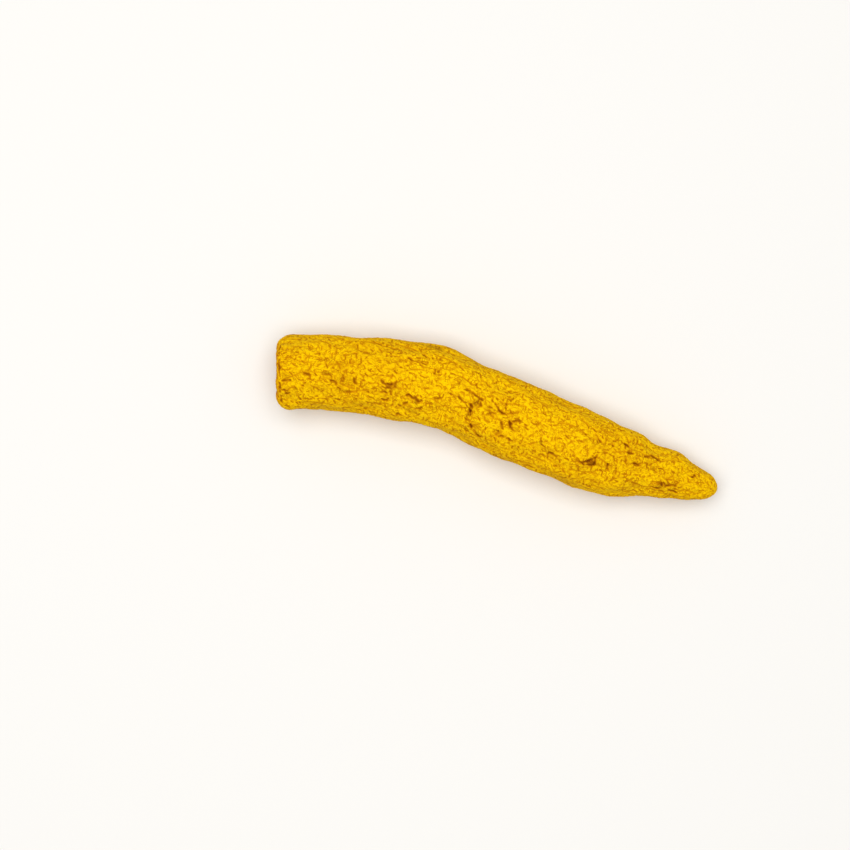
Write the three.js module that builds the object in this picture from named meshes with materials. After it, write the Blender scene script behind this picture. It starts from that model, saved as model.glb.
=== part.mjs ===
// A dried turmeric finger: one side shoot of the rhizome, cut blunt at one end and rounded at the tip.
// Millimetres. X runs from the cut end to the tip, Z is up, and the finger lies on the plane z = 0.
// The origin is below the middle of the finger, on that plane.

import * as THREE from "three";

// The axis of the finger and its half width and half height, at the places where its outline turns.
// y is the axis's place to the side, and lift is the gap between the underside and the plane.
const stations = [
  { x: -34.2, y: -2.2, halfWidth: 5.9, halfHeight: 5.4, lift: 0.65 },
  { x: -30.6, y: -1.25, halfWidth: 5.7, halfHeight: 5.25, lift: 0.3 },
  { x: -24.7, y: 0.0, halfWidth: 5.7, halfHeight: 5.15, lift: 0.45 },
  { x: -19.1, y: 1.0, halfWidth: 5.65, halfHeight: 5.1, lift: 0.7 },
  { x: -13.5, y: 1.45, halfWidth: 6.0, halfHeight: 5.4, lift: 0.4 },
  { x: -8.6, y: 1.65, halfWidth: 6.0, halfHeight: 5.5, lift: 0.2 },
  { x: -5.0, y: 1.0, halfWidth: 5.8, halfHeight: 5.4, lift: 0.3 },
  { x: -1.5, y: 0.3, halfWidth: 5.9, halfHeight: 5.4, lift: 0.5 },
  { x: 4.9, y: -0.65, halfWidth: 5.7, halfHeight: 5.2, lift: 0.8 },
  { x: 11.3, y: -1.6, halfWidth: 5.8, halfHeight: 5.3, lift: 0.5 },
  { x: 16.9, y: -2.15, halfWidth: 5.6, halfHeight: 5.05, lift: 0.25 },
  { x: 20.8, y: -2.3, halfWidth: 4.8, halfHeight: 4.5, lift: 0.4 },
  { x: 23.6, y: -2.4, halfWidth: 3.85, halfHeight: 3.95, lift: 0.65 },
  { x: 27.4, y: -2.35, halfWidth: 3.4, halfHeight: 3.2, lift: 1.15 },
  { x: 29.6, y: -2.55, halfWidth: 2.8, halfHeight: 2.7, lift: 1.5 },
  { x: 32.0, y: -2.55, halfWidth: 2.25, halfHeight: 2.15, lift: 1.9 },
  { x: 34.6, y: -2.65, halfWidth: 1.8, halfHeight: 1.75, lift: 2.2 },
];

// The cut end: a rounded rim round a face that has sunk in drying, with the ring of the inner tissue.
// The rim is rounder at the sides and fuller above and below, and the cut stands upright.
const cutX = -33.9;
const rimRadius = 2.4;
const rimFullness = 2.5;
const uprightTo = -27.0;
const faceDish = 0.45;
const faceRingShare = 0.6;
const faceRingWidth = 0.1;
const faceRingDepth = 0.22;

// The tip closes as a dome over this length.
const domeX = 32.6;
const tipX = 34.6;

// Node rings, where scale leaves sat: each is a low step that runs round the finger, a little askew.
const nodeRings = [
  { x: -27.3, skew: 0.8, height: 0.12 },
  { x: -19.8, skew: 1.2, height: 0.14 },
  { x: -11.9, skew: 2.6, height: 0.22 },
  { x: -4.6, skew: 1.4, height: 0.14 },
  { x: 4.2, skew: 1.5, height: 0.24 },
  { x: 12.6, skew: -1.2, height: 0.24 },
  { x: 20.3, skew: 1.2, height: 0.17 },
  { x: 26.8, skew: 0.5, height: 0.2 },
  { x: 30.8, skew: 0.3, height: 0.14 },
];
const ringRise = 3.6;
const ringFall = 0.9;

// Shrinkage furrows run lengthwise and wander as they go.
const furrows = [
  { count: 7, depth: 0.2, phase: 0.4, drift: 0.045, sway: 0.5, swayLength: 23 },
  { count: 11, depth: 0.13, phase: 2.1, drift: -0.06, sway: 0.7, swayLength: 15 },
];

// Broad unevenness of the grown form.
const lumps = [
  { height: 0.13, waves: 2, alongLength: 21, phase: 0.4 },
  { height: 0.1, waves: -3, alongLength: 13, phase: 1.7 },
  { height: 0.07, waves: 4, alongLength: 8, phase: 2.9 },
];

// Furrows and lumps have their full height at this half width, and less where the finger is thinner.
const fullHalfWidth = 5.6;

// The share of all this relief that is left on the cut face.
const faceRelief = 0.25;

// Round scars where side shoots broke off. The turn is in degrees: 0 faces +Y, 90 is the top.
const budScars = [
  { x: -1.4, turn: 112, radius: 2.4, rise: 0.3, groove: 0.3 },
  { x: -17.2, turn: 262, radius: 2.3, rise: 0.3, groove: 0.34 },
  { x: 8.6, turn: 331, radius: 1.9, rise: 0.3, groove: 0.3 },
  { x: 22.4, turn: 214, radius: 1.3, rise: 0.22, groove: 0.25 },
];
const scarRiseShare = 0.8;
const scarGrooveWidth = 0.6;

// Short creases and pits, each along a line on the surface from one point to the other.
const creases = [
  { from: { x: -4.1, turn: 99 }, to: { x: -4.3, turn: 122 }, width: 0.7, depth: 0.26 },
  { from: { x: -5.6, turn: 80 }, to: { x: -2.6, turn: 92 }, width: 0.7, depth: 0.22 },
  { from: { x: 12.2, turn: 101 }, to: { x: 14.0, turn: 97 }, width: 0.75, depth: 0.28 },
  { from: { x: -16.6, turn: 86 }, to: { x: -13.4, turn: 100 }, width: 0.9, depth: 0.24 },
  { from: { x: 24.2, turn: 98 }, to: { x: 27.2, turn: 100 }, width: 0.7, depth: 0.2 },
  { from: { x: -25.0, turn: 200 }, to: { x: -20.5, turn: 208 }, width: 0.8, depth: 0.24 },
  { from: { x: 13.0, turn: 282 }, to: { x: 10.2, turn: 300 }, width: 0.8, depth: 0.24 },
];

// The three worn spots that the finger lies on, round its weight.
const restSpots = [
  { x: -28.6, y: -0.9, push: 0.45 },
  { x: -8.6, y: 1.7, push: 0.38 },
  { x: 17.2, y: -2.1, push: 0.34 },
];
const spotLength = 2.4;
const spotWidth = 3.0;
const spotHeight = 3.0;

// How finely the surface is divided. The last row of the face keeps a small margin inside the rim,
// as a share of a row.
const stepsAround = 46;
const bodyRows = 96;
const faceRows = 5;
const faceMargin = 0.4;
const rimRows = 6;
const domeRows = 6;

const bell = (distance, reach) => Math.exp(-((distance / reach) ** 2));
const radians = THREE.MathUtils.degToRad;

// A smooth curve through the stations' values of one kind: cubic pieces with shared slopes.
function slopeAt(key, i) {
  const before = stations[Math.max(i - 1, 0)];
  const after = stations[Math.min(i + 1, stations.length - 1)];
  return (after[key] - before[key]) / (after.x - before.x);
}

function along(key, x) {
  const last = stations.length - 2;
  const found = stations.findIndex((station) => station.x > x) - 1;
  const i = found < 0 ? (x < stations[0].x ? 0 : last) : found;
  const a = stations[i];
  const b = stations[i + 1];
  const gap = b.x - a.x;
  const t = (x - a.x) / gap;
  const bend = t * t * (3 - 2 * t);
  const leave = t * (1 - t) ** 2 * gap * slopeAt(key, i);
  const arrive = t * t * (t - 1) * gap * slopeAt(key, i + 1);
  return a[key] + (b[key] - a[key]) * bend + leave + arrive;
}

// The axis at x, and the two directions across it: one level, one upright.
const slopeReach = 0.25;

function axisPoint(x) {
  return new THREE.Vector3(x, along("y", x), along("halfHeight", x) + along("lift", x));
}

function axisFrame(x) {
  const centre = axisPoint(x);
  const forward = axisPoint(x + slopeReach).sub(axisPoint(x - slopeReach));
  forward.z *= THREE.MathUtils.smoothstep(x, cutX, uprightTo);
  forward.normalize();
  const side = new THREE.Vector3(-forward.y, forward.x, 0).normalize();
  const up = new THREE.Vector3().crossVectors(forward, side);
  return { centre, side, up };
}

// The rows of the surface from the middle of the cut face to the tip.
// scale is the row's share of the section inside the rim or at the tip, and face is its share of the
// way across the cut face.
function surfaceRows() {
  const rows = [];
  const sunk = (share) => {
    const ring = faceRingDepth * bell(share - faceRingShare, faceRingWidth);
    return cutX + faceDish * (1 - share ** 2) + ring;
  };
  for (let i = 1; i <= faceRows; i += 1) {
    const share = i / (faceRows + faceMargin);
    rows.push({ x: sunk(share), scale: share, face: share });
  }
  for (let i = 0; i < rimRows; i += 1) {
    const angle = (i / rimRows) * (Math.PI / 2);
    rows.push({ x: cutX + rimRadius * (1 - Math.cos(angle)), scale: 1, face: 1 });
  }
  const bodyStart = cutX + rimRadius;
  for (let i = 0; i < bodyRows; i += 1) {
    const x = THREE.MathUtils.lerp(bodyStart, domeX, i / bodyRows);
    rows.push({ x, scale: 1, face: 1 });
  }
  for (let i = 0; i < domeRows; i += 1) {
    const angle = (i / domeRows) * (Math.PI / 2);
    const x = THREE.MathUtils.lerp(domeX, tipX, Math.sin(angle));
    rows.push({ x, scale: Math.cos(angle), face: 1 });
  }
  return rows;
}

// A row's share of the full section at one turn, with the rim of the cut end rounded off.
function sectionShare(row, angle) {
  const rimShare = rimRadius / along("halfWidth", cutX);
  const inward = 1 - THREE.MathUtils.clamp((row.x - cutX) / rimRadius, 0, 1);
  const power = 2 + rimFullness * Math.sin(angle) ** 2;
  const rise = row.face < 1 ? 0 : (1 - inward ** power) ** (1 / power);
  return row.scale * (1 - rimShare * (1 - rise));
}

function smoothPoint(row, angle) {
  const { centre, side, up } = axisFrame(row.x);
  const share = sectionShare(row, angle);
  const halfWidth = along("halfWidth", row.x) * share;
  const halfHeight = along("halfHeight", row.x) * share;
  return centre
    .addScaledVector(side, halfWidth * Math.cos(angle))
    .addScaledVector(up, halfHeight * Math.sin(angle));
}

// The way from one place on the surface to another, as lengths along and around the finger.
function surfaceOffset(place, x, angle) {
  const turned = angle - radians(place.turn);
  const nearest = Math.atan2(Math.sin(turned), Math.cos(turned));
  return { dx: x - place.x, around: nearest * along("halfWidth", place.x) };
}

function ringRelief(x, angle) {
  let sum = 0;
  for (const ring of nodeRings) {
    const past = x - ring.x - ring.skew * Math.cos(angle);
    const reach = past < 0 ? ringRise : ringFall;
    sum += ring.height / (1 + (past / reach) ** 2);
  }
  return sum;
}

function furrowRelief(x, angle) {
  let sum = 0;
  for (const furrow of furrows) {
    const sway = furrow.sway * Math.sin((2 * Math.PI * x) / furrow.swayLength + furrow.phase);
    const wave = Math.cos(furrow.count * (angle + furrow.drift * x) + furrow.phase + sway);
    sum -= furrow.depth * (0.5 + 0.5 * wave) ** 2;
  }
  return sum;
}

function lumpRelief(x, angle) {
  let sum = 0;
  for (const lump of lumps) {
    const wave = (2 * Math.PI * x) / lump.alongLength + lump.waves * angle + lump.phase;
    sum += lump.height * Math.sin(wave);
  }
  return sum;
}

function scarRelief(x, angle) {
  let sum = 0;
  for (const scar of budScars) {
    const { dx, around } = surfaceOffset(scar, x, angle);
    const distance = Math.hypot(dx, around);
    sum += scar.rise * bell(distance, scar.radius * scarRiseShare);
    sum -= scar.groove * bell(distance - scar.radius, scarGrooveWidth);
  }
  return sum;
}

function creaseRelief(x, angle) {
  let sum = 0;
  for (const crease of creases) {
    const start = surfaceOffset(crease.from, x, angle);
    const end = surfaceOffset(crease.to, x, angle);
    const run = { x: start.dx - end.dx, y: start.around - end.around };
    const share = (start.dx * run.x + start.around * run.y) / (run.x ** 2 + run.y ** 2);
    const held = THREE.MathUtils.clamp(share, 0, 1);
    const distance = Math.hypot(start.dx - held * run.x, start.around - held * run.y);
    sum -= crease.depth * bell(distance, crease.width);
  }
  return sum;
}

// Everything that stands above or below the smooth form, nearly gone on the cut face and at the tip.
function relief(row, angle) {
  const x = row.x;
  const thickness = along("halfWidth", x) / fullHalfWidth;
  const broad = (furrowRelief(x, angle) + lumpRelief(x, angle)) * thickness;
  const local = ringRelief(x, angle) + scarRelief(x, angle) + creaseRelief(x, angle);
  const faceShare = row.face < 1 ? faceRelief * row.face : 1;
  return (broad + local) * sectionShare(row, angle) * faceShare;
}

// The underside is worn down to the plane at the rest spots.
function restOnPlane(point) {
  for (const spot of restSpots) {
    const near = bell(point.x - spot.x, spotLength) * bell(point.y - spot.y, spotWidth);
    point.z -= spot.push * near * bell(point.z, spotHeight);
  }
  point.z = Math.max(point.z, 0);
}

// One closed skin: the rows in turn, with a single point at each end.
function fingerGeometry() {
  const rows = surfaceRows();
  const positions = [];
  const indices = [];
  positions.push(...axisPoint(cutX + faceDish).toArray());
  for (const row of rows) {
    for (let j = 0; j < stepsAround; j += 1) {
      positions.push(...smoothPoint(row, (2 * Math.PI * j) / stepsAround).toArray());
    }
  }
  positions.push(...axisPoint(tipX).toArray());
  const vertexOf = (i, j) => 1 + i * stepsAround + (j % stepsAround);
  const tip = 1 + rows.length * stepsAround;
  for (let j = 0; j < stepsAround; j += 1) {
    indices.push(0, vertexOf(0, j + 1), vertexOf(0, j));
    for (let i = 0; i < rows.length - 1; i += 1) {
      const a = vertexOf(i, j);
      const b = vertexOf(i, j + 1);
      const c = vertexOf(i + 1, j + 1);
      const d = vertexOf(i + 1, j);
      indices.push(a, b, c, a, c, d);
    }
    indices.push(vertexOf(rows.length - 1, j), vertexOf(rows.length - 1, j + 1), tip);
  }
  const geometry = new THREE.BufferGeometry();
  geometry.setAttribute("position", new THREE.Float32BufferAttribute(positions, 3));
  geometry.setIndex(indices);
  geometry.computeVertexNormals();
  addRelief(geometry, rows);
  geometry.computeVertexNormals();
  return geometry;
}

function addRelief(geometry, rows) {
  const position = geometry.getAttribute("position");
  const normal = geometry.getAttribute("normal");
  const point = new THREE.Vector3();
  const outward = new THREE.Vector3();
  rows.forEach((row, i) => {
    for (let j = 0; j < stepsAround; j += 1) {
      const vertex = 1 + i * stepsAround + j;
      point.fromBufferAttribute(position, vertex);
      outward.fromBufferAttribute(normal, vertex);
      point.addScaledVector(outward, relief(row, (2 * Math.PI * j) / stepsAround));
      restOnPlane(point);
      position.setXYZ(vertex, point.x, point.y, point.z);
    }
  });
}

// The polished skin is covered in its own yellow powder, and has no gloss.
const polishedSkin = new THREE.MeshStandardMaterial({
  color: 0xe8ac06,
  roughness: 0.9,
  metalness: 0,
});

const finger = new THREE.Mesh(fingerGeometry(), polishedSkin);
finger.name = "rhizome_finger";

const turmericRoot = new THREE.Group();
turmericRoot.add(finger);

export default turmericRoot;
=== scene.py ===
import math

import bpy
import numpy as np
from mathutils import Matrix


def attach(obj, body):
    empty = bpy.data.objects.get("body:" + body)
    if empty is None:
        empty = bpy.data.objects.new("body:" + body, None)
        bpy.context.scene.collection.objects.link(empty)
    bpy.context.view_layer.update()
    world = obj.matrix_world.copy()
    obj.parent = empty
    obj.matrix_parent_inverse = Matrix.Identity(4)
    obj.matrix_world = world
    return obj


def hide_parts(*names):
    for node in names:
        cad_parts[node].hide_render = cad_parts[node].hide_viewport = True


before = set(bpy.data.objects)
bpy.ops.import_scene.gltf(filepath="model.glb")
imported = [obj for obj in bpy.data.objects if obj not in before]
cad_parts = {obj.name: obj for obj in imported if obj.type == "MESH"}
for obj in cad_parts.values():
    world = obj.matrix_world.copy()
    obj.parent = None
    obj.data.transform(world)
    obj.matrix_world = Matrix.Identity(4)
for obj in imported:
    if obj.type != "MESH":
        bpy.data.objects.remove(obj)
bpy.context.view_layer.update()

mm = 0.001

# The finger's grown form, in millimetres: X from the cut end to the tip, Z up.
# A turn is an angle round the finger in degrees: 0 faces +Y and 90 is the top.
finger = {
    "node": "rhizome_finger",
    # x, place of the axis to the side, half width, half height, lift off the surface
    "stations": [
        (-34.2, -2.2, 5.9, 5.4, 0.65),
        (-30.6, -1.25, 5.7, 5.25, 0.3),
        (-24.7, 0.0, 5.7, 5.15, 0.45),
        (-19.1, 1.0, 5.65, 5.1, 0.7),
        (-13.5, 1.45, 6.0, 5.4, 0.4),
        (-8.6, 1.65, 6.0, 5.5, 0.2),
        (-5.0, 1.0, 5.8, 5.4, 0.3),
        (-1.5, 0.3, 5.9, 5.4, 0.5),
        (4.9, -0.65, 5.7, 5.2, 0.8),
        (11.3, -1.6, 5.8, 5.3, 0.5),
        (16.9, -2.15, 5.6, 5.05, 0.25),
        (20.8, -2.3, 4.8, 4.5, 0.4),
        (23.6, -2.4, 3.85, 3.95, 0.65),
        (27.4, -2.35, 3.4, 3.2, 1.15),
        (29.6, -2.55, 2.8, 2.7, 1.5),
        (32.0, -2.55, 2.25, 2.15, 1.9),
        (34.6, -2.65, 1.8, 1.75, 2.2),
    ],
    "cutX": -33.9, "rimRadius": 2.4,         # where it was cut off, and how round the cut's rim is
    "rimFullness": 2.5, "uprightTo": -27.0,  # rim fuller above and below, upright as far as this x
    "domeX": 32.6, "tipX": 34.6,             # where the round tip starts and ends
    "faceDish": 0.45, "faceRelief": 0.25,    # the cut face is hollow, with lower relief
    "faceColourReach": 0.25,                 # how far the face's colour goes over the rim
    # ring about the core, its place and width in shares of the face
    "faceRingShare": 0.6, "faceRingWidth": 0.1, "faceRingDepth": 0.22, "faceRingDark": 0.3,
    # the tip is rubbed smoother and duller
    "tipWearFrom": 26.0, "tipWearTo": 30.0, "tipCalm": 0.25, "tipDull": 0.03,
    "fullHalfWidth": 5.6,                    # half width at which the furrows are full size
    # the grid's steps around and its rows
    "around": 238, "bodyRows": 356, "faceRows": 18, "rimRows": 24, "domeRows": 18,
    "faceMargin": 0.4,                       # of a row, between the face's last row and the rim
    "slopeStep": 0.25,                       # each way along the axis, to find its direction
    "smallestStep": 0.02,                    # least distance taken between two points of the grid
}


def bell(distance, reach):  # 1 in the middle, falling off on both sides
    return np.exp(-((distance / reach) ** 2))


def smoothStep(value, low, high):  # from 0 at low to 1 at high
    share = np.clip((value - low) / (high - low), 0, 1)
    return share * share * (3 - 2 * share)


def along(column, x):  # smooth curve through one column of the stations
    table = np.array(finger["stations"])
    places = table[:, 0]
    values = table[:, column]
    slopes = np.empty_like(values)
    slopes[1:-1] = (values[2:] - values[:-2]) / (places[2:] - places[:-2])
    slopes[0] = (values[1] - values[0]) / (places[1] - places[0])
    slopes[-1] = (values[-1] - values[-2]) / (places[-1] - places[-2])
    before = np.clip(np.searchsorted(places, x, side="right") - 1, 0, len(places) - 2)
    gap = places[before + 1] - places[before]
    part = (x - places[before]) / gap
    bend = part * part * (3 - 2 * part)
    leave = part * (1 - part) ** 2 * gap * slopes[before]
    arrive = part * part * (part - 1) * gap * slopes[before + 1]
    return values[before] + (values[before + 1] - values[before]) * bend + leave + arrive


def axisPoint(x):  # middle of the section
    return np.stack([x, along(1, x), along(3, x) + along(4, x)], axis=-1)


def axisFrame(x):  # the axis, and the level and upright directions across it
    forward = axisPoint(x + finger["slopeStep"]) - axisPoint(x - finger["slopeStep"])
    forward[:, 2] *= smoothStep(x, finger["cutX"], finger["uprightTo"])  # the cut stands upright
    forward /= np.linalg.norm(forward, axis=-1, keepdims=True)
    side = np.stack([-forward[:, 1], forward[:, 0], np.zeros(len(x))], axis=-1)
    side /= np.linalg.norm(side, axis=-1, keepdims=True)
    return axisPoint(x), side, np.cross(forward, side)


def surfaceRows():  # x, share of the full section and share of the cut face, row by row
    face = np.arange(1, finger["faceRows"] + 1) / (finger["faceRows"] + finger["faceMargin"])
    ring = finger["faceRingDepth"] * bell(face - finger["faceRingShare"], finger["faceRingWidth"])
    faceX = finger["cutX"] + finger["faceDish"] * (1 - face ** 2) + ring
    rim = np.arange(finger["rimRows"]) / finger["rimRows"] * math.pi / 2
    rimX = finger["cutX"] + finger["rimRadius"] * (1 - np.cos(rim))
    bodyStart = finger["cutX"] + finger["rimRadius"]
    body = np.arange(finger["bodyRows"]) / finger["bodyRows"]
    bodyX = bodyStart + (finger["domeX"] - bodyStart) * body
    dome = np.arange(finger["domeRows"]) / finger["domeRows"] * math.pi / 2
    domeX = finger["domeX"] + (finger["tipX"] - finger["domeX"]) * np.sin(dome)
    x = np.concatenate([faceX, rimX, bodyX, domeX])
    scale = np.concatenate([face, np.ones(len(rimX) + len(bodyX)), np.cos(dome)])
    share = np.concatenate([face, np.ones(len(x) - len(face))])
    return x, scale, share


def roundedRim(x, share, angle):  # share of the section at the cut's rim, where power 2 is round
    rimShare = finger["rimRadius"] / float(along(2, np.array([finger["cutX"]]))[0])
    inward = 1 - np.clip((x - finger["cutX"]) / finger["rimRadius"], 0, 1)[:, None]
    power = 2 + finger["rimFullness"] * np.sin(angle) ** 2
    rise = np.where(share[:, None] < 1, 0, (1 - inward ** power) ** (1 / power))
    return 1 - rimShare * (1 - rise)


def smoothSkin(x, scale, angle):  # rows by steps around by three
    centre, side, up = axisFrame(x)
    across = along(2, x)[:, None] * scale * np.cos(angle)
    upward = along(3, x)[:, None] * scale * np.sin(angle)
    return centre[:, None] + across[..., None] * side[:, None] + upward[..., None] * up[:, None]


def skinSlopes(grid):  # steps along the rows and around them, wrapped round the finger
    down = np.gradient(grid, axis=0)
    around = (np.roll(grid, -1, axis=1) - np.roll(grid, 1, axis=1)) / 2
    return down, around


def skinNormals(points):  # outward
    down, around = skinSlopes(points)
    normals = np.cross(around, down)
    return normals / np.linalg.norm(normals, axis=-1, keepdims=True)


# Forms that the solid has too: x and turn place each one on the skin.
nodeRings = [  # low swellings where the leaf sheaths sat: x, lean, height
    (-27.3, 0.8, 0.12), (-19.8, 1.2, 0.14), (-11.9, 2.6, 0.22), (-4.6, 1.4, 0.14), (4.2, 1.5, 0.24),
    (12.6, -1.2, 0.24), (20.3, 1.2, 0.17), (26.8, 0.5, 0.2), (30.8, 0.3, 0.14),
]
ringReach = {"rise": 3.6, "fall": 0.9}
furrows = [  # long shallow hollows from drying
    {"count": 7, "depth": 0.2, "phase": 0.4, "drift": 0.045, "sway": 0.5, "swayLength": 23},
    {"count": 11, "depth": 0.13, "phase": 2.1, "drift": -0.06, "sway": 0.7, "swayLength": 15},
]
lumps = [  # height, waves round the finger, length along it, phase
    (0.13, 2, 21, 0.4), (0.1, -3, 13, 1.7), (0.07, 4, 8, 2.9),
]
budScars = [
    {"x": -1.0, "turn": 112, "radius": 2.2, "rise": 0.3, "groove": 0.16},
    {"x": -17.2, "turn": 262, "radius": 2.3, "rise": 0.3, "groove": 0.34},
    {"x": 8.6, "turn": 331, "radius": 1.9, "rise": 0.3, "groove": 0.3},
    {"x": 22.4, "turn": 214, "radius": 1.3, "rise": 0.22, "groove": 0.25},
]
restSpots = [  # x, y and how deep each is worn
    (-28.6, -0.9, 0.45), (-8.6, 1.7, 0.38), (17.2, -2.1, 0.34),
]
spotReach = {"along": 2.4, "across": 3.0, "up": 3.0}

scarLook = {  # lengths in mm, and crown and calm reaches in shares of the scar's radius
    "cell": (1.6, 1.6), "seed": 91, "ragged": 0.22, "whole": 0.6, "broken": 0.5,
    "crownReach": 0.8, "grooveWidth": 0.45, "grooveLeast": 0.5, "grooveDark": 0.24,
    "rings": [(0.62, 0.2), (0.3, 0.18)],  # share of the radius, width
    "ringDepth": 0.09, "ringDark": 0.14, "calm": 0.6, "calmReach": 0.6,
}

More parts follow.
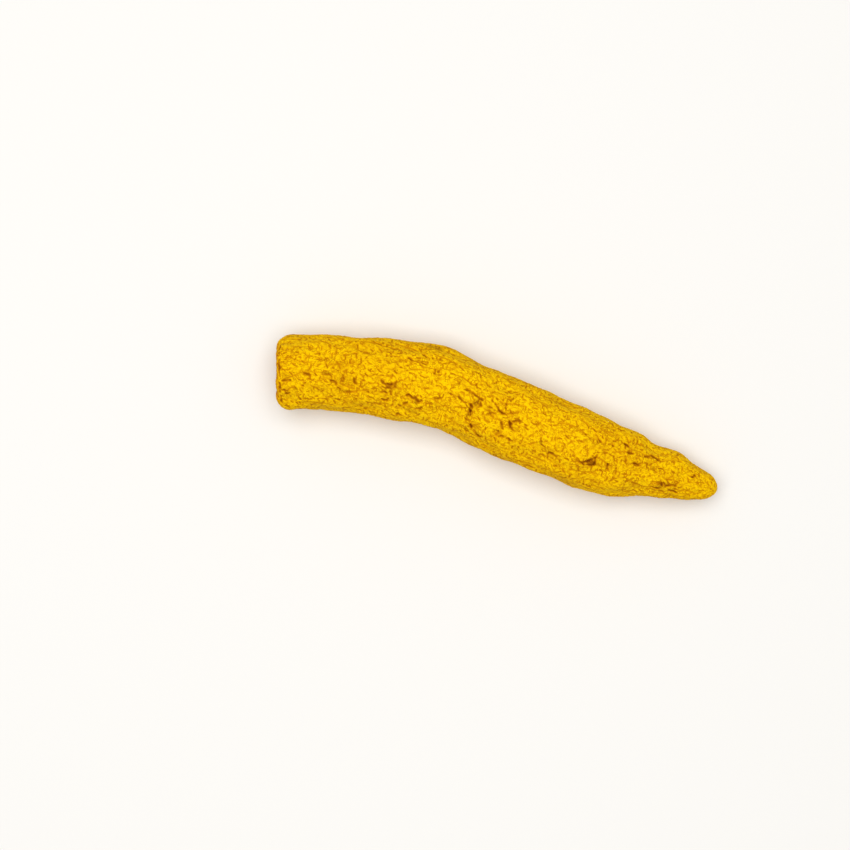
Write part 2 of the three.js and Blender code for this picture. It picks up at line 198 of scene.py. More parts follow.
# Broken places in the skin, each a chain of (x, turn) points. Width is half their width, depth how
# far they go in, and dark how dark their bottom is painted: partly the bare skin's own brown,
# partly painted shade.
creases = [
    # the deepest, round the bud scar and in the dips
    {"width": 0.2, "depth": 0.18, "dark": 1.0, "chains": [
        [(-18.4, 96), (-17.8, 100), (-17.1, 100), (-16.4, 97), (-16.2, 94)],
        [(-14.5, 110), (-14.1, 109), (-13.7, 110)],
        [(-13.2, 110), (-12.8, 113), (-12.5, 115), (-12.1, 113)],
        [(-14.1, 119), (-14.6, 126)],
        [(-4.4, 96), (-4.0, 96), (-3.8, 98)],
        [(-4.2, 102), (-3.8, 105), (-3.6, 111)],
        [(-3.1, 124), (-2.8, 128)],
        [(-3.3, 82), (-2.8, 81)],
        [(-0.2, 86), (0.3, 87), (0.8, 86)],
        [(1.6, 94), (1.9, 97), (2.1, 102)],
        [(12.8, 108), (13.4, 107)],
        [(13.4, 107), (13.9, 103), (14.7, 96)],
        [(13.4, 110), (14.1, 109), (15.0, 106)],
        [(16.8, 99), (17.0, 107)],
        [(18.4, 60), (19.1, 62)],
        [(20.2, 86), (21.3, 86)],
        [(-25.0, 200), (-22.6, 206), (-20.5, 204)],
        [(13.0, 282), (11.8, 290), (10.2, 294)],
        [(-9.0, 246), (-7.6, 239), (-6.0, 237), (-4.2, 243)],
        [(16.2, 252), (18.4, 259), (20.0, 256)],
        [(-27.8, 318), (-26.4, 327), (-24.9, 325)],
    ]},
    # plain ones, some of them a seam along the upper rim of the cut
    {"width": 0.165, "depth": 0.12, "dark": 0.88, "chains": [
        [(-18.4, 116), (-17.8, 112), (-17.3, 114)],
        [(-18.1, 105), (-17.5, 106)],
        [(-16.8, 108), (-16.6, 114)],
        [(-14.0, 109), (-13.2, 112)],
        [(-14.6, 126), (-15.0, 130), (-15.3, 129)],
        [(-16.4, 97), (-16.2, 105)],
        [(-17.4, 104), (-17.1, 105)],
        [(-11.9, 120), (-12.1, 126), (-12.6, 125)],
        [(-18.0, 126), (-17.7, 128), (-17.1, 126), (-16.9, 122)],
        [(-15.3, 146), (-14.4, 145)],
        [(-15.1, 54), (-14.6, 58), (-14.1, 59)],
        [(-13.0, 43), (-12.6, 46)],
        [(-13.2, 58), (-12.8, 54)],
        [(-10.8, 51), (-10.5, 46)],
        [(-11.0, 66), (-11.0, 72)],
        [(-10.5, 66), (-10.7, 70)],
        [(-4.9, 64), (-4.9, 66)],
        [(-2.4, 108), (-2.2, 110)],
        [(-0.4, 70), (-0.2, 65)],
        [(0.3, 79), (0.3, 73)],
        [(0.7, 66), (1.0, 58)],
        [(-11.4, 117), (-11.0, 116), (-10.5, 117)],
        [(-10.3, 106), (-9.2, 104)],
        [(-8.3, 94), (-6.7, 93), (-5.8, 96), (-4.7, 95)],
        [(-6.4, 80), (-5.3, 78), (-4.2, 81), (-3.3, 82)],
        [(-5.6, 106), (-4.9, 103)],
        [(-4.2, 117), (-3.8, 120), (-3.3, 118)],
        [(-2.2, 130), (-1.9, 134), (-1.5, 138), (-1.0, 134)],
        [(-3.3, 140), (-2.9, 140)],
        [(-3.1, 86), (-2.9, 90), (-2.6, 91)],
        [(-1.9, 74), (-1.7, 77)],
        [(-1.1, 79), (-0.8, 83), (-0.2, 86)],
        [(0.8, 86), (1.4, 82), (1.8, 81)],
        [(0.3, 97), (0.8, 102), (1.2, 109)],
        [(0.7, 113), (0.7, 115)],
        [(-1.1, 118), (-1.1, 120)],
        [(1.0, 123), (1.4, 119), (1.7, 118)],
        [(2.3, 118), (2.8, 120), (3.2, 119)],
        [(2.1, 102), (2.6, 105)],
        [(2.1, 92), (2.6, 89), (3.3, 87)],
        [(3.9, 108), (4.4, 108)],
        [(8.4, 121), (8.5, 115), (9.1, 114), (9.8, 116)],
        [(12.1, 107), (12.8, 108)],
        [(13.6, 106), (14.8, 103)],
        [(12.3, 67), (12.4, 68)],
        [(13.0, 71), (13.1, 72)],
        [(14.5, 68), (14.8, 70)],
        [(16.6, 70), (16.7, 71)],
        [(14.7, 97), (15.0, 105)],
        [(24.3, 127), (25.1, 128), (25.8, 124)],
        [(25.1, 116), (25.4, 107), (25.8, 119)],
        [(26.0, 111), (26.3, 117), (27.0, 113), (27.9, 112), (28.1, 102)],
        [(18.2, 102), (18.4, 111), (18.2, 120)],
        [(19.0, 80), (19.3, 88)],
        [(19.1, 72), (19.9, 72)],
        [(21.7, 68), (22.9, 59), (23.8, 58), (24.5, 64)],
        [(27.0, 127), (27.9, 128), (28.8, 133)],
        [(29.5, 72), (30.1, 73), (30.4, 62)],
        [(-23.9, 93), (-24.3, 105)],
        [(-25.8, 102), (-25.2, 102), (-24.9, 106)],
        [(-22.3, 96), (-22.1, 104)],
        [(-21.1, 98), (-20.7, 99)],
        [(-22.1, 104), (-21.8, 107)],
        [(-24.8, 132), (-24.3, 135)],
        [(-30.0, 92), (-29.0, 95), (-28.8, 100)],
        [(-33.2, 105), (-31.8, 103)],
        [(-33.3, 44), (-33.4, 60)],
        [(-33.4, 72), (-33.4, 92)],
        [(-33.3, 108), (-33.3, 124)],
        [(-33.3, 134), (-33.2, 146)],
        [(-30.0, 102), (-29.9, 104)],
        [(-30.0, 111), (-29.9, 112)],
        [(-32.7, 118), (-32.4, 126), (-31.9, 123)],
        [(-30.4, 135), (-30.4, 137)],
        [(-30.4, 143), (-30.4, 145)],
        [(2.4, 190), (4.6, 183), (6.2, 187)],
        [(-6.4, 8), (-4.2, 15), (-3.0, 12)],
        [(-15.4, 332), (-14.6, 325), (-13.0, 322)],
        [(7.2, 244), (8.0, 252), (9.6, 254)],
    ]},
    # faint ones, and the rest of the seam
    {"width": 0.11, "depth": 0.07, "dark": 0.55, "chains": [
        [(-33.4, 200), (-33.4, 235)],
        [(-33.4, 262), (-33.4, 290)],
        [(-33.4, 310), (-33.4, 345)],
        [(-27.0, 94), (-26.1, 93), (-25.2, 87)],
        [(-28.6, 111), (-28.1, 113), (-27.0, 114)],
        [(-27.7, 102), (-27.0, 102)],
        [(-24.1, 62), (-23.0, 60), (-22.0, 58)],
        [(-26.6, 82), (-25.7, 78), (-24.5, 76)],
        [(-19.3, 95), (-18.7, 102)],
        [(-16.9, 65), (-15.9, 62), (-15.3, 61), (-15.1, 54)],
        [(-16.4, 112), (-15.7, 114)],
        [(-15.3, 94), (-15.1, 100)],
        [(-11.7, 102), (-11.2, 103), (-10.7, 102)],
        [(-4.2, 62), (-3.7, 58), (-3.1, 57)],
        [(-6.7, 110), (-5.6, 106)],
        [(-1.5, 94), (-1.3, 96), (-0.8, 97), (-0.2, 100)],
        [(-1.9, 101), (-1.5, 107), (-1.1, 106)],
        [(5.5, 80), (6.4, 82)],
        [(8.0, 68), (9.8, 63), (10.9, 62), (11.8, 64)],
        [(10.2, 85), (10.9, 86), (12.3, 81)],
        [(14.3, 49), (14.8, 43), (16.3, 36)],
        [(23.2, 80), (23.9, 79), (24.2, 84), (23.8, 88), (23.2, 86)],
        [(25.8, 102), (26.9, 100), (27.2, 97)],
        [(26.9, 154), (27.8, 142)],
        [(29.7, 90), (32.1, 80)],
    ]},
]
creaseLook = {  # cells and ragged in mm, the rest as shares
    "raggedCell": (0.5, 0.45), "raggedSeed": 97, "ragged": 0.055,
    "brokenCell": (0.8, 0.7), "brokenSeed": 98, "whole": 0.97, "broken": 0.12, "least": 0.8,
    "endWidth": 0.65, "widening": 0.35,
}
stains = [  # brown places where the powder is rubbed off: x, turn, reach along and around in mm
    {"strength": 0.6, "places": [
        (-17.0, 103, 0.7, 0.4), (-12.8, 116, 0.4, 0.35), (-4.0, 108, 0.35, 0.9),
        (-3.5, 92, 0.5, 0.5), (-3.2, 128, 0.3, 0.3), (-31.1, 116, 0.4, 0.22),
        (-26.2, 91, 0.6, 0.2), (-23.6, 117, 0.8, 0.25), (-13.5, 111, 0.7, 0.25),
        (14.3, 104, 0.7, 0.4), (6.9, 106, 0.3, 0.25), (9.3, 99, 0.25, 0.3),
        (23.7, 84, 0.3, 0.35), (25.5, 114, 0.4, 0.4), (26.6, 113, 0.6, 0.25),
        (-17.2, 262, 1.5, 1.5), (8.6, 331, 1.1, 1.1), (22.4, 214, 0.8, 0.8),
        (4.0, 228, 1.1, 0.7), (-11.5, 20, 0.9, 0.6), (19.0, 300, 0.8, 0.6),
    ]},
    {"strength": 0.22, "places": [  # fainter and broader
        (-32.4, 98, 0.5, 0.6), (-13.5, 132, 1.0, 0.7), (-1.8, 92, 0.7, 0.6), (2.4, 102, 0.7, 0.7),
        (8.5, 110, 0.9, 0.6), (-24.0, 118, 0.9, 0.5), (-15.9, 106, 1.6, 0.9),
        (26.2, 115, 1.3, 0.6),
    ]},
]
stainEdge = {"cell": (1.1, 0.8), "seed": 101, "ragged": 0.3, "full": 0.5, "gone": 1.25}

# The wrinkles of the dried skin: short curled strokes, about one in each square of skin. Spacing is
# the square's side, length and width the stroke's full length and half width, swing how far it
# turns from the finger's length in radians, bend and curl how it curves, depth how far it goes in,
# dark how dark its bottom is painted, partly bare brown skin and partly painted shade, and even how
# alike the strokes are, from 0 to 1. Lengths are in mm.
wrinkles = {
    "short": {"spacing": 0.62, "length": 0.5, "width": 0.105, "swing": 1.2, "bend": 1.2,
              "curl": 1.2, "depth": 0.09, "dark": 0.84, "even": 0.3, "seed": 23},
    "fine": {"spacing": 0.48, "length": 0.3, "width": 0.09, "swing": 1.5, "bend": 2.0,
             "curl": 0.0, "depth": 0.03, "dark": 0.35, "even": 0.35, "seed": 37},
    "long": {"spacing": 2.0, "length": 2.4, "width": 0.1, "swing": 0.25, "bend": 0.1,
             "curl": 0.05, "depth": 0.08, "dark": 0.6, "even": 0.3, "seed": 53},
}
# The ends have wrinkles of their own, which fade between these distances from the end, in mm.
wrinkleEnds = {"cut": (2.4, 3.6), "tip": (0.7, 1.5)}
strokeShape = {  # places across a stroke, in half widths, and the rims' height as a share of depth
    "floor": 0.4, "edge": 1.7, "rim": 2.3, "outside": 3.5, "rimHeight": 0.3,
}
scatter = {
    "shortest": 0.5, "longest": 1.5,  # length of a stroke, as a share of its kind's length
    "from": 0.15, "to": 0.85,         # where in its square it may lie
    "goldenStep": 0.618,              # between neighbours' strengths, so that they're unlike
    "faintness": 2,                   # the higher, the more strokes are faint
}
swell = [  # soft unevenness between the wrinkles: cell along and around, height
    (2.6, 1.7, 0.01), (1.1, 0.9, 0.006),
]
swellSeed = 131


def wrapped(angle):  # the same angle, from minus half a turn to half a turn
    return (angle + math.pi) % (2 * math.pi) - math.pi


def skinOffset(skin, x, turn):  # how far along and around the skin lies from a place on it
    reach = along(2, np.array([float(x)]))[0]
    return skin["x"] - x, wrapped(skin["angle"] - math.radians(turn)) * reach


def chainDistance(skin, chain):  # distance over the skin to a chain, and the share along it
    nearest = np.full(skin["x"].shape, np.inf)
    progress = np.zeros(skin["x"].shape)
    for number, (start, end) in enumerate(zip(chain[:-1], chain[1:])):
        alongSkin, aroundSkin = skinOffset(skin, *start)
        span = end[0] - start[0]
        turned = math.radians(end[1] - start[1]) * along(2, np.array([float(start[0])]))[0]
        share = (alongSkin * span + aroundSkin * turned) / (span * span + turned * turned)
        share = np.clip(share, 0, 1)
        away = np.hypot(alongSkin - share * span, aroundSkin - share * turned)
        progress = np.where(away < nearest, (number + share) / (len(chain) - 1), progress)
        nearest = np.minimum(nearest, away)
    return nearest, progress


def grainNoise(places, cell, seed):  # smooth seeded noise with a spread of 1, one lump to a cell
    spots = places / np.array([cell[0], cell[1], cell[1]])
    spots = spots - np.floor(spots.reshape(-1, 3).min(axis=0))
    corner = np.floor(spots).astype(int)
    counts = corner.reshape(-1, 3).max(axis=0) + 2
    slopes = np.random.default_rng(seed).normal(size=(*counts, 3))
    slopes /= np.linalg.norm(slopes, axis=-1, keepdims=True)
    part = spots - corner
    ease = part ** 3 * (part * (part * 6 - 15) + 10)
    total = np.zeros(part.shape[:-1])
    for step in np.ndindex(2, 2, 2):
        at = corner + step
        pull = ((part - step) * slopes[at[..., 0], at[..., 1], at[..., 2]]).sum(axis=-1)
        total += pull * np.prod(np.where(step, ease, 1 - ease), axis=-1)
    return total / total.std()


def strokeProfile(distance, width):  # 1 at the bottom of a stroke, and 1 on the rims beside it
    bottom = 1 - smoothStep(distance, strokeShape["floor"] * width, strokeShape["edge"] * width)
    return bottom, bell(distance - strokeShape["rim"] * width, width)


def strokeMarks(kind, alongSkin, aroundSkin, random):  # bottoms and rims round each stroke's middle
    shape = (len(alongSkin), 1, 1)
    turn = kind["swing"] * random.normal(size=shape)
    half = kind["length"] / 2 * random.uniform(scatter["shortest"], scatter["longest"], shape)
    bend = kind["bend"] * random.normal(size=shape)
    curl = kind["curl"] * random.normal(size=shape)
    number = np.arange(len(alongSkin)).reshape(shape)
    order = (scatter["goldenStep"] * number + random.random()) % 1
    strength = kind["even"] + (1 - kind["even"]) * order ** scatter["faintness"]
    down = alongSkin * np.cos(turn) + aroundSkin * np.sin(turn)
    across = aroundSkin * np.cos(turn) - alongSkin * np.sin(turn)
    across -= bend * down ** 2 / 2 + curl * down ** 3
    distance = np.hypot(across, np.maximum(np.abs(down) - half, 0))
    bottom, rim = strokeProfile(distance, kind["width"])
    return bottom * strength, rim * strength


def endStrokes(angle, away, kind, reach):  # the same on a round end, laid out flat from its middle
    random = np.random.default_rng(kind["seed"] + 1)
    steps = np.arange(-reach, reach, kind["spacing"])
    corners = np.array(np.meshgrid(steps, steps)).reshape(2, -1, 1, 1)
    middles = corners + kind["spacing"] * random.random(corners.shape)
    bottom, rim = strokeMarks(kind, away * np.cos(angle) - middles[0],
                              away * np.sin(angle) - middles[1], random)
    return bottom.max(axis=0), rim.max(axis=0)


def scatteredStrokes(skin, kind):  # one kind of wrinkle over the whole skin, band by band along it
    random = np.random.default_rng(kind["seed"])
    spacing = kind["spacing"]
    reach = scatter["longest"] / 2 * kind["length"] + strokeShape["outside"] * kind["width"]
    lengthwise = skin["rowStep"].mean(axis=1)
    around = skin["aroundStep"].mean(axis=1)
    arc = np.cumsum(lengthwise)
    bottoms = np.zeros(skin["x"].shape)
    rims = np.zeros(skin["x"].shape)
    for start in np.arange(arc[0], arc[-1] - spacing, spacing):
        band = int(np.searchsorted(arc, start + spacing / 2))
        count = max(1, round(around[band] * finger["around"] / spacing))
        shape = (count, 1, 1)
        lengthShare = random.uniform(scatter["from"], scatter["to"], shape)
        aroundShare = random.uniform(scatter["from"], scatter["to"], shape)
        row = np.interp(start + spacing * lengthShare, arc, np.arange(len(arc)))
        column = (np.arange(count).reshape(shape) + aroundShare) / count * finger["around"]
        rowSpan = math.ceil(reach / lengthwise[band])
        columnSpan = min(math.ceil(reach / around[band]), finger["around"] // 2 - 1)
        nearRow = np.round(row).astype(int) + np.arange(-rowSpan, rowSpan + 1)[:, None]
        nearRow = np.clip(nearRow, 0, len(arc) - 1)
        nearColumn = np.round(column).astype(int) + np.arange(-columnSpan, columnSpan + 1)
        bottom, rim = strokeMarks(kind, (nearRow - row) * lengthwise[band],
                                  (nearColumn - column) * around[band], random)
        places = tuple(np.broadcast_arrays(nearRow, nearColumn % finger["around"]))
        np.maximum.at(bottoms, places, bottom)
        np.maximum.at(rims, places, rim)
    for away, (inside, outside) in ((arc, wrinkleEnds["cut"]), (arc[-1] - arc, wrinkleEnds["tip"])):
        rows = away < outside
        blend = 1 - smoothStep(away[rows, None], inside, outside)
        endBottoms, endRims = endStrokes(skin["angle"][rows], away[rows, None], kind, outside)
        bottoms[rows] += (endBottoms - bottoms[rows]) * blend
        rims[rows] += (endRims - rims[rows]) * blend
    return bottoms, rims


def grownForm(skin):  # the broad relief that the solid has too
    height = np.zeros(skin["x"].shape)
    for x, lean, rise in nodeRings:
        past = skin["x"] - x - lean * np.cos(skin["angle"])
        reach = np.where(past < 0, ringReach["rise"], ringReach["fall"])
        height += rise / (1 + (past / reach) ** 2)
    hollows = np.zeros(skin["x"].shape)
    for furrow in furrows:
        wave = 2 * math.pi * skin["x"] / furrow["swayLength"] + furrow["phase"]
        turned = furrow["count"] * (skin["angle"] + furrow["drift"] * skin["x"])
        turned = turned + furrow["phase"] + furrow["sway"] * np.sin(wave)
        hollows -= furrow["depth"] * (0.5 + 0.5 * np.cos(turned)) ** 2  # 0 on the ridges between
    for rise, waves, length, phase in lumps:
        hollows += rise * np.sin(2 * math.pi * skin["x"] / length + waves * skin["angle"] + phase)
    return height + hollows * skin["thickness"]


def scarForm(skin):  # round bud scars: a low crown inside a groove, with finer rings on it
    height = np.zeros(skin["x"].shape)
    dark = np.zeros(skin["x"].shape)
    calm = np.zeros(skin["x"].shape)
    look = scarLook
    uneven = grainNoise(skin["grain"], look["cell"], look["seed"])
    broken = np.clip(look["whole"] + look["broken"] * uneven, 0, 1)
    grooved = look["grooveLeast"] + (1 - look["grooveLeast"]) * broken
    for scar in budScars:
        radius = scar["radius"]
        distance = np.hypot(*skinOffset(skin, scar["x"], scar["turn"])) + look["ragged"] * uneven
        rim = bell(distance - radius, look["grooveWidth"])
        rings = sum(bell(distance - share * radius, width) for share, width in look["rings"])
        height += scar["rise"] * bell(distance, radius * look["crownReach"])
        height -= scar["groove"] * rim * grooved + look["ringDepth"] * rings * broken
        # the groove and rings are darkened: partly the scar's own skin, partly painted shade
        dark += look["grooveDark"] * rim * broken + look["ringDark"] * rings * broken
        calm += look["calm"] * bell(distance, look["calmReach"] * radius)
    return height, dark, calm


def creaseForm(skin):  # the broken places, widest in the middle of each chain
    height = np.zeros(skin["x"].shape)
    dark = np.zeros(skin["x"].shape)
    look = creaseLook
    ragged = look["ragged"] * grainNoise(skin["grain"], look["raggedCell"], look["raggedSeed"])
    uneven = grainNoise(skin["grain"], look["brokenCell"], look["brokenSeed"])
    broken = np.clip(look["whole"] + look["broken"] * uneven, look["least"], 1)
    for kind in creases:
        for chain in kind["chains"]:
            away, progress = chainDistance(skin, chain)
            swelling = look["endWidth"] + look["widening"] * np.sin(math.pi * progress)
            bottom, rim = strokeProfile(away + ragged, kind["width"] * swelling)
            height -= kind["depth"] * broken * (bottom - strokeShape["rimHeight"] * rim)
            # the crease's bottom is darkened: partly bare skin, partly painted shade
            dark = np.maximum(dark, kind["dark"] * bottom * broken)
    return height, dark


def stainedSkin(skin):  # how stained each place is, from 0 to 1
    stain = np.zeros(skin["x"].shape)
    ragged = stainEdge["ragged"] * grainNoise(skin["grain"], stainEdge["cell"], stainEdge["seed"])
    for kind in stains:
        for x, turn, alongReach, aroundReach in kind["places"]:
            alongSkin, aroundSkin = skinOffset(skin, x, turn)
            distance = np.hypot(alongSkin / alongReach, aroundSkin / aroundReach)
            cover = 1 - smoothStep(distance + ragged, stainEdge["full"], stainEdge["gone"])
            stain = np.maximum(stain, kind["strength"] * cover)
    return stain


def fineRelief(skin):  # wrinkles and the soft unevenness between them
    height = np.zeros(skin["x"].shape)
    dark = np.zeros(skin["x"].shape)
    for number, (alongCell, aroundCell, rise) in enumerate(swell):
        height += rise * grainNoise(skin["grain"], (alongCell, aroundCell), swellSeed + number)
    for kind in wrinkles.values():
        bottoms, rims = scatteredStrokes(skin, kind)
        height += kind["depth"] * (strokeShape["rimHeight"] * rims * (1 - bottoms) - bottoms)
        # the wrinkle's bottom is darkened: partly bare skin, partly painted shade
        dark = np.maximum(dark, kind["dark"] * bottoms)
    return height, dark


def skinGrid():  # the grid of places on the skin, with what the relief needs at each
    x, scale, share = surfaceRows()
    angle = np.arange(finger["around"]) / finger["around"] * 2 * math.pi
    scale = scale[:, None] * roundedRim(x, share, angle)
    base = smoothSkin(x, scale, angle)
    down, aroundStep = skinSlopes(base)
    radius = (along(2, x) + along(3, x))[:, None] / 2 * scale
    grain = np.stack([
        np.broadcast_to(x[:, None], base.shape[:2]),
        radius * np.cos(angle),
        radius * np.sin(angle),
    ], axis=-1)
    faceRadius = along(2, x[:1])[0] - finger["rimRadius"]
    unrolled = x - finger["faceDish"] - faceRadius * (1 - share)
    return {
        "base": base,
        "normals": skinNormals(base),
        "x": np.broadcast_to(np.where(share < 1, unrolled, x)[:, None], base.shape[:2]),
        "angle": np.broadcast_to(angle, base.shape[:2]),
        "grain": grain,
        "rowStep": np.maximum(np.linalg.norm(down, axis=-1), finger["smallestStep"]),
        "aroundStep": np.maximum(np.linalg.norm(aroundStep, axis=-1), finger["smallestStep"]),
        "scale": scale,
        "share": np.broadcast_to(share[:, None], base.shape[:2]),
        "thickness": (along(2, x) / finger["fullHalfWidth"])[:, None],
    }


def onTheTable(points):  # the low spots are worn flat, so that the finger lies firmly
    x, y, z = points[..., 0], points[..., 1], points[..., 2].copy()
    for spotX, spotY, push in restSpots:
        near = bell(x - spotX, spotReach["along"]) * bell(y - spotY, spotReach["across"])
        z -= push * near * bell(z, spotReach["up"])
    return np.stack([x, y, np.maximum(z, 0)], axis=-1)


def gridFaces(rows, columns):  # quads between the rows, and a fan at each end
    faces = []
    for row in range(rows - 1):
        here = 1 + row * columns
        beyond = here + columns
        for column in range(columns):
            after = (column + 1) % columns
            faces.append((here + column, here + after, beyond + after, beyond + column))
    last = 1 + (rows - 1) * columns
    for column in range(columns):
        after = (column + 1) % columns
        faces.append((0, 1 + after, 1 + column))
        faces.append((last + columns, last + column, last + after))
    return faces


def withEnds(first, grid, last):  # one list: the middle of the cut face, the grid and the tip
    flat = grid.reshape(-1, grid.shape[-1])
    return np.concatenate([np.atleast_2d(first), flat, np.atleast_2d(last)])


def storeOnSkin(mesh, name, values, ends=None):  # one number or three for every point of the skin
    values = values if values.ndim == 3 else values[..., None]
    first, last = ends or (values[0].mean(axis=0), values[-1].mean(axis=0))
    column = withEnds(first, values, last)
    kind, field = ("FLOAT_VECTOR", "vector") if column.shape[1] == 3 else ("FLOAT", "value")
    mesh.attributes.new(name, kind, "POINT").data.foreach_set(field, column.ravel())


def makeFinger(material):
    skin = skinGrid()
    scarHeight, scarDark, calm = scarForm(skin)
    creaseHeight, creaseDark = creaseForm(skin)
    fineHeight, fineDark = fineRelief(skin)
    tipWear = smoothStep(skin["x"], finger["tipWearFrom"], finger["tipWearTo"])
    calm += finger["tipCalm"] * tipWear
    onBody = skin["scale"] * np.where(skin["share"] < 1, finger["faceRelief"] * skin["share"], 1)
    height = (grownForm(skin) + scarHeight + creaseHeight) * onBody
    height += fineHeight * (1 - calm)
    points = onTheTable(skin["base"] + height[..., None] * skin["normals"])
    ends = axisPoint(np.array([finger["cutX"] + finger["faceDish"], finger["tipX"]]))
    everyPoint = withEnds(ends[0], points, ends[1]) * mm
    mesh = bpy.data.meshes.new("rhizomeFinger")
    mesh.from_pydata(everyPoint.tolist(), [], gridFaces(*points.shape[:2]))
    mesh.shade_smooth()
    storeOnSkin(mesh, "grain", skin["grain"], ([ends[0][0], 0, 0], [ends[1][0], 0, 0]))
    ring = bell(skin["share"] - finger["faceRingShare"], finger["faceRingWidth"])
    # Darkness painted into the hollows: bare skin's own brown and painted shade in the wrinkles,
    # creases and scar grooves, with the cut face's darker ring and the duller tip.
    dark = np.maximum(fineDark * (1 - calm), creaseDark) + scarDark + finger["faceRingDark"] * ring
    dark += finger["tipDull"] * tipWear
    storeOnSkin(mesh, "hollow", np.clip(dark, 0, 1))
    storeOnSkin(mesh, "stain", stainedSkin(skin))
    overRim = bell(skin["x"] - finger["cutX"], finger["faceColourReach"])
    storeOnSkin(mesh, "cutFace", np.where(skin["share"] < 1, 1, overRim))
    piece = bpy.data.objects.new("rhizomeFinger", mesh)
    bpy.context.scene.collection.objects.link(piece)
    piece.data.materials.append(material)
    return piece


def linear(hexColour):  # sRGB hex to linear light
    light = []
    for start in (1, 3, 5):
        value = int(hexColour[start:start + 2], 16) / 255
        light.append(value / 12.92 if value <= 0.04045 else ((value + 0.055) / 1.055) ** 2.4)
    return (*light, 1.0)


def addNode(tree, kind, settings=None, links=None):  # one node, its settings and what feeds it
    node = tree.nodes.new(kind)
    for name, value in (settings or {}).items():
        if isinstance(name, str) and hasattr(node, name):
            setattr(node, name, value)
        else:
            node.inputs[name].default_value = value
    for name, source in (links or {}).items():
        tree.links.new(source, node.inputs[name])
    return node


# Dried turmeric, boiled, sun dried and rubbed in a drum: a matt skin under its own bright powder,
# with brown bare skin left in the wrinkles, where the rubbing doesn't reach. The wrinkles also get
# painted shade, and the rims of the finest ones get a painted highlight.
turmericSkin = {
    "powder": "#fdce00",        # ridges, thick with powder
    "amber": "#f1be00",         # thinner powder
    "ochre": "#dda200",         # broad duller places
    "wrinkleSideShade": "#d2ad86",   # painted shade on the sides of a wrinkle, warm where yellow light bounces about
    "bareFloorAndShade": "#7d5200",  # and at its bottom: the bare brown skin, darkened further by painted shade
    "untinted": "#ffffff",      # and outside it
    "sideFrom": 0.06,           # how deep in a wrinkle the painted shade of its sides starts
    "sideAt": 0.5,              # and where it's full
    "scarSkin": "#a87000",      # old scar tissue, rubbed free of powder
    "cutFlesh": "#e6a000",      # the cut end's fibres under a thinner powder
    "faceShare": 0.7,           # how much of the flesh colour the cut face has
    "roughness": 0.92,
    "ior": 1.45,
    "specular": 0.06,           # dry powder has next to no gloss
    "broadCell": 9.0,           # mm between the duller places, where they start and how dull
    "broadFrom": 0.45, "broadTo": 0.75, "broadMost": 0.4,
    "patchCell": 1.3,           # mm between the small patches of thicker powder
    "patchFrom": 0.35, "patchTo": 0.65,
    "powderLeast": 0.5, "powderMost": 0.72,  # share of the full powder colour in them
    "stretch": 0.75,            # the finest wrinkles run a little along the finger
    "rimHighlightReach": 3.0,             # how far the painted highlight on their rims reaches, in half widths
    # Finest wrinkles between the others: lines where a swirled noise crosses its middle, in short
    # runs. Cell is how far apart the lines are and runs how far apart their runs, in mm. Band is
    # half a line's width in the noise's values, and open and full say where there are any. Depth
    # is in metres.
    "fineWrinkles": [
        {"cell": 0.8, "swirl": 1.2, "band": 0.07, "dark": 0.66, "depth": 0.00003,
         "runs": 0.6, "open": 0.36, "full": 0.56, "seed": 3.0},
        {"cell": 0.45, "swirl": 0.6, "band": 0.08, "dark": 0.6, "depth": 0.00002,
         "runs": 0.5, "open": 0.4, "full": 0.6, "seed": 7.0},
    ],
    "powderCell": 0.25,         # clumps of powder, coarser than real ones so that they show
    "powderDepth": 0.00002,     # m
}


def lineAndRimHighlight(tree, away, cover, width):  # 1 in the middle of a wrinkle, and 1 on its two rims, which get a painted highlight
    masks = []
    for outside, inside in ((width, 0.0), (width * turmericSkin["rimHighlightReach"], width)):
        near = addNode(tree, "ShaderNodeMapRange",
                       {"interpolation_type": "SMOOTHSTEP", "From Min": outside,
                        "From Max": inside},
                       {"Value": away})
        masks.append(addNode(tree, "ShaderNodeMath", {"operation": "MULTIPLY"},
                             {0: near.outputs["Result"], 1: cover}).outputs[0])
    return masks


def fineWrinkles(tree, grain, layer):  # one layer of the finest wrinkles, as lines and the rims that carry a painted highlight
    noise = addNode(tree, "ShaderNodeTexNoise",
                    {"Scale": 1 / layer["cell"], "Detail": 0.0, "Distortion": layer["swirl"]},
                    {"Vector": grain})
    fromMiddle = addNode(tree, "ShaderNodeMath", {"operation": "SUBTRACT", 1: 0.5},
                         {0: noise.outputs["Fac"]})
    away = addNode(tree, "ShaderNodeMath", {"operation": "ABSOLUTE"},
                   {0: fromMiddle.outputs[0]}).outputs[0]
    runs = addNode(tree, "ShaderNodeTexNoise",
                   {"noise_dimensions": "4D", "W": layer["seed"], "Scale": 1 / layer["runs"],
                    "Detail": 0.0},
                   {"Vector": grain})
    cover = addNode(tree, "ShaderNodeMapRange",
                    {"interpolation_type": "SMOOTHSTEP", "From Min": layer["open"],
                     "From Max": layer["full"]},
                    {"Value": runs.outputs["Fac"]}).outputs["Result"]
    return lineAndRimHighlight(tree, away, cover, layer["band"])


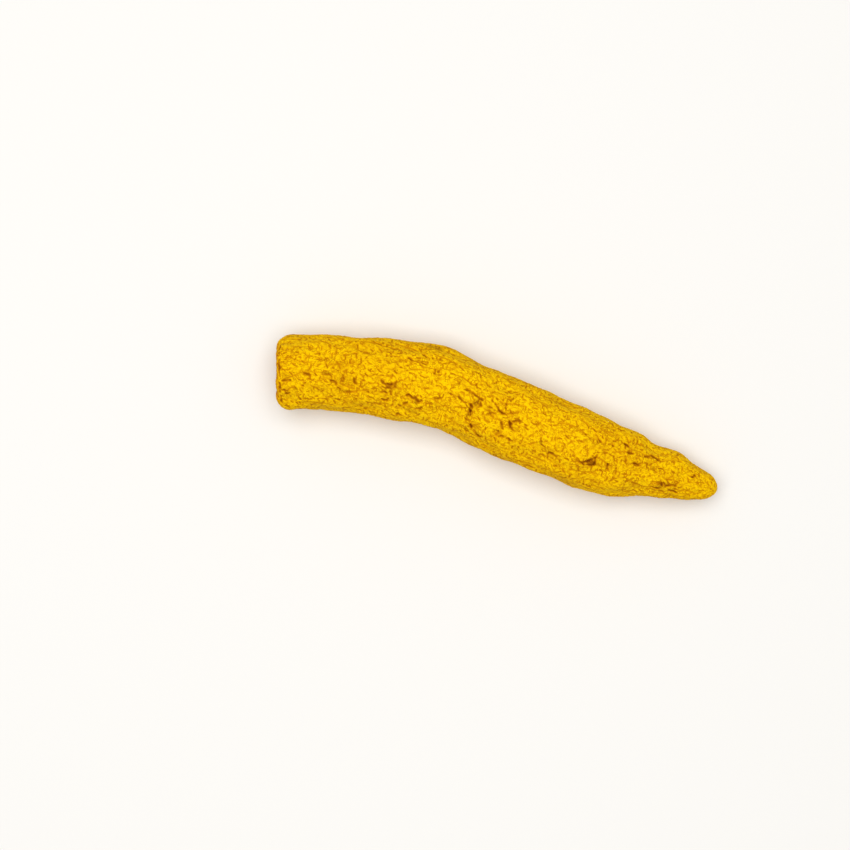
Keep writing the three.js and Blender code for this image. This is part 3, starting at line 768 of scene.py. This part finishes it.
def turmericSkinMaterial():
    look = turmericSkin
    material = bpy.data.materials.new("driedTurmericSkin")
    material.use_nodes = True
    tree = material.node_tree
    tree.nodes.clear()
    grain = addNode(tree, "ShaderNodeAttribute", {"attribute_name": "grain"}).outputs["Vector"]
    hollow = addNode(tree, "ShaderNodeAttribute", {"attribute_name": "hollow"}).outputs["Fac"]
    stain = addNode(tree, "ShaderNodeAttribute", {"attribute_name": "stain"}).outputs["Fac"]
    cutFace = addNode(tree, "ShaderNodeAttribute", {"attribute_name": "cutFace"}).outputs["Fac"]
    stretched = addNode(tree, "ShaderNodeVectorMath",
                        {"operation": "MULTIPLY", 1: (look["stretch"], 1.0, 1.0)},
                        {0: grain}).outputs[0]

    broad = addNode(tree, "ShaderNodeTexNoise", {"Scale": 1 / look["broadCell"], "Detail": 2.0},
                    {"Vector": grain})
    patch = addNode(tree, "ShaderNodeTexNoise", {"Scale": 1 / look["patchCell"], "Detail": 3.0},
                    {"Vector": grain})
    powder = addNode(tree, "ShaderNodeTexNoise", {"Scale": 1 / look["powderCell"], "Detail": 2.0},
                     {"Vector": grain})
    powderPatchAndHighlight = addNode(tree, "ShaderNodeMapRange",
                         {"From Min": look["patchFrom"], "From Max": look["patchTo"],
                          "To Min": look["powderLeast"], "To Max": look["powderMost"]},
                         {"Value": patch.outputs["Fac"]}).outputs["Result"]
    height = addNode(tree, "ShaderNodeMath", {"operation": "MULTIPLY", 1: look["powderDepth"]},
                     {0: powder.outputs["Fac"]}).outputs[0]
    # Darkening of the hollows and the finest wrinkles: partly bare brown skin, partly painted
    # shade.
    bareAndShade = hollow
    for layer in look["fineWrinkles"]:
        line, rim = fineWrinkles(tree, stretched, layer)
        shade = addNode(tree, "ShaderNodeMath", {"operation": "MULTIPLY", 1: layer["dark"]},
                        {0: line})
        bareAndShade = addNode(tree, "ShaderNodeMath", {"operation": "MAXIMUM"},
                       {0: bareAndShade, 1: shade.outputs[0]}).outputs[0]
        # The rims beside the finest wrinkles get the full powder colour: a painted highlight.
        powderPatchAndHighlight = addNode(tree, "ShaderNodeMath", {"operation": "MAXIMUM"},
                             {0: powderPatchAndHighlight, 1: rim}).outputs[0]
        height = addNode(tree, "ShaderNodeMath", {"operation": "MULTIPLY_ADD", 1: -layer["depth"]},
                         {0: line, 2: height}).outputs[0]

    skinColour = addNode(tree, "ShaderNodeMix",
                         {"data_type": "RGBA", 6: linear(look["amber"]), 7: linear(look["powder"])},
                         {0: powderPatchAndHighlight})
    broadShare = addNode(tree, "ShaderNodeMapRange",
                         {"From Min": look["broadFrom"], "From Max": look["broadTo"],
                          "To Max": look["broadMost"]},
                         {"Value": broad.outputs["Fac"]})
    dulled = addNode(tree, "ShaderNodeMix", {"data_type": "RGBA", 7: linear(look["ochre"])},
                     {0: broadShare.outputs["Result"], 6: skinColour.outputs[2]})
    faceShare = addNode(tree, "ShaderNodeMath", {"operation": "MULTIPLY", 1: look["faceShare"]},
                        {0: cutFace})
    withFace = addNode(tree, "ShaderNodeMix", {"data_type": "RGBA", 7: linear(look["cutFlesh"])},
                       {0: faceShare.outputs[0], 6: dulled.outputs[2]})
    colour = addNode(tree, "ShaderNodeMix", {"data_type": "RGBA", 7: linear(look["scarSkin"])},
                     {0: stain, 6: withFace.outputs[2]}).outputs[2]
    # Painted shade and bare skin in the hollows: untinted outside, shaded sides, a brown floor.
    tint = addNode(tree, "ShaderNodeValToRGB", None, {0: bareAndShade})
    stops = tint.color_ramp.elements
    stops[0].position = look["sideFrom"]
    stops[0].color = linear(look["untinted"])
    stops[1].color = linear(look["bareFloorAndShade"])
    stops.new(look["sideAt"]).color = linear(look["wrinkleSideShade"])
    withGroove = addNode(tree, "ShaderNodeMix",
                         {"data_type": "RGBA", "blend_type": "MULTIPLY", 0: 1.0},
                         {6: colour, 7: tint.outputs["Color"]})
    bump = addNode(tree, "ShaderNodeBump", {"Strength": 1.0, "Distance": 1.0}, {"Height": height})
    shader = addNode(tree, "ShaderNodeBsdfPrincipled",
                     {"Roughness": look["roughness"], "IOR": look["ior"],
                      "Specular IOR Level": look["specular"]},
                     {"Base Color": withGroove.outputs[2], "Normal": bump.outputs["Normal"]})
    addNode(tree, "ShaderNodeOutputMaterial", None, {"Surface": shader.outputs["BSDF"]})
    return material


table = {"colour": "#eeece8", "roughness": 0.95, "side": 3.0}


def makeTable():  # pale matt paper sweep, only the floor of the picture
    material = bpy.data.materials.new("paleMattPaper")
    material.use_nodes = True
    tree = material.node_tree
    tree.nodes.clear()
    shader = addNode(tree, "ShaderNodeBsdfPrincipled",
                     {"Base Color": linear(table["colour"]), "Roughness": table["roughness"]})
    addNode(tree, "ShaderNodeOutputMaterial", None, {"Surface": shader.outputs["BSDF"]})
    half = table["side"] / 2
    corners = [(-half, -half, 0), (half, -half, 0), (half, half, 0), (-half, half, 0)]
    mesh = bpy.data.meshes.new("paperTable")
    mesh.from_pydata(corners, [], [(0, 1, 2, 3)])
    mesh.materials.append(material)
    floor = bpy.data.objects.new("paperTable", mesh)
    bpy.context.scene.collection.objects.link(floor)


studio = {  # metres, watts and degrees
    "softboxSide": 0.55, "softboxPower": 3.66, "softboxPlace": (-0.06, 0.02, 0.62),
    "softboxTilt": (-2, -5, 0), "roomColour": "#ffffff", "roomStrength": 0.41,
}


def makeLight():  # one wide softbox overhead and an even pale room
    lamp = bpy.data.lights.new("softbox", "AREA")
    lamp.shape = "SQUARE"
    lamp.size = studio["softboxSide"]
    lamp.energy = studio["softboxPower"]
    light = bpy.data.objects.new("softbox", lamp)
    light.location = studio["softboxPlace"]
    light.rotation_euler = [math.radians(tilt) for tilt in studio["softboxTilt"]]
    bpy.context.scene.collection.objects.link(light)
    world = bpy.data.worlds.new("paleRoom")
    world.use_nodes = True
    background = world.node_tree.nodes["Background"]
    background.inputs["Color"].default_value = linear(studio["roomColour"])
    background.inputs["Strength"].default_value = studio["roomStrength"]
    bpy.context.scene.world = world
    bpy.context.scene.view_settings.view_transform = "Standard"


# Place and height in mm, turn in degrees.
view = {"x": -10.45, "y": -4.25, "height": 360, "turn": 14.55, "lens": 100, "sensor": 36}


def makeCamera():  # straight down, turned so that the finger lies as in the photograph
    lens = bpy.data.cameras.new("overheadCamera")
    lens.lens = view["lens"]
    lens.sensor_width = view["sensor"]
    camera = bpy.data.objects.new("overheadCamera", lens)
    camera.location = (view["x"] * mm, view["y"] * mm, view["height"] * mm)
    camera.rotation_euler = (0, 0, math.radians(view["turn"]))
    bpy.context.scene.collection.objects.link(camera)
    bpy.context.scene.camera = camera


print("growing the finger")
rhizomeFinger = makeFinger(turmericSkinMaterial())
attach(rhizomeFinger, "root")
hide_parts(finger["node"])
print("finger:", len(rhizomeFinger.data.polygons), "faces")

print("setting the table, light and camera")
makeTable()
makeLight()
makeCamera()

print("done")
